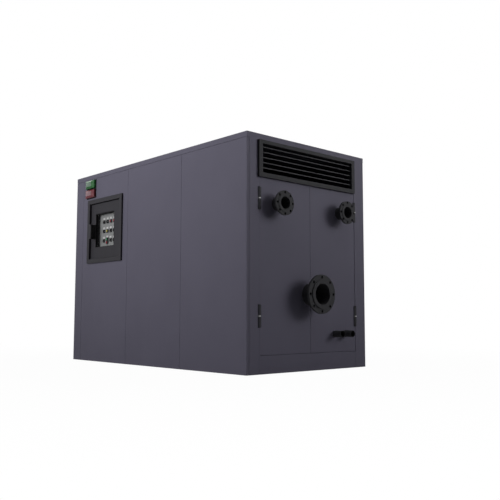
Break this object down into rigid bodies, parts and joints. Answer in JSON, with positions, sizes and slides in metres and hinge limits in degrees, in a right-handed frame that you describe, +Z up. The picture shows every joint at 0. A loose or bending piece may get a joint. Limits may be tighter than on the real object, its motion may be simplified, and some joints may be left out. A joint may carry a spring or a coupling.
{
  "type": "gas boiler",
  "caption": "Floor-standing gas boiler in a long sheet-steel cabinet, with a control door and lamps on one side and a louvre, service doors, flanged pipes and drain stubs at one end.",
  "frame": {"origin": "on the floor, under the middle of the cabinet's plan outline", "axes": "+Z up; +X along the length toward the service end; the control side faces -Y"},
  "size_m": [2.988, 1.575, 2],
  "materials": {
    "cabinet_paint": "satin powder coat, grey with a violet cast",
    "dark_paint": "satin dark grey paint",
    "pipe_paint": "matt dark grey paint on steel pipe",
    "frame_paint": "matt black paint on sheet steel",
    "control_paint": "satin dark grey powder coat",
    "fascia_paint": "satin light grey paint",
    "bright_steel": "bare machined steel",
    "black_plastic": "moulded black plastic, fine grain",
    "red_plastic": "moulded red plastic",
    "yellow_plastic": "moulded yellow plastic",
    "green_plastic": "moulded green plastic",
    "green_lens": "translucent green lens",
    "red_lens": "translucent red lens",
    "clear_pane": "clear polycarbonate sheet"
  },
  "bodies": {
    "cabinet": {"roof": "cabinet_paint", "front_corner_panel": "cabinet_paint", "rear_corner_panel": "cabinet_paint", "front_panel_left": "cabinet_paint", "front_panel_middle": "cabinet_paint", "front_panel_right": "cabinet_paint", "rear_panel_left": "cabinet_paint", "rear_panel_middle": "cabinet_paint", "rear_panel_right": "cabinet_paint", "left_end_panel_front": "cabinet_paint", "left_end_panel_rear": "cabinet_paint", "service_post_front": "cabinet_paint", "service_post_rear": "cabinet_paint", "service_plinth": "cabinet_paint", "service_header": "cabinet_paint", "service_door_front": "cabinet_paint", "service_door_rear": "cabinet_paint", "louvre_frame": "dark_paint", "louvre_blades": "dark_paint", "hinges_front": "dark_paint", "hinges_rear": "dark_paint", "upper_pipes": "pipe_paint", "upper_flanges": "pipe_paint", "large_pipe": "pipe_paint", "large_flange": "pipe_paint", "drain_stub_front": "pipe_paint", "drain_stub_rear": "pipe_paint", "base_pan": "frame_paint", "boiler_body": "frame_paint", "control_box": "frame_paint", "control_surround": "control_paint", "control_fascia": "fascia_paint", "hinge_washers": "bright_steel", "control_door_pins": "bright_steel", "switch_bodies": "black_plastic", "switch_caps_red": "red_plastic", "switch_cap_yellow": "yellow_plastic", "switch_cap_green": "green_plastic", "run_lamp": "green_lens", "fault_lamp": "red_lens"},
    "control_door": {"control_door": "control_paint", "control_door_window": "clear_pane", "control_door_handle": "black_plastic"}
  },
  "joints": [
    {"name": "control_door_hinge", "type": "hinge", "parent": "cabinet", "child": "control_door", "pos_m": [-0.523, -0.747, 1.377], "axis": [0, 0, 1], "range_deg": [0, 95]}
  ]
}
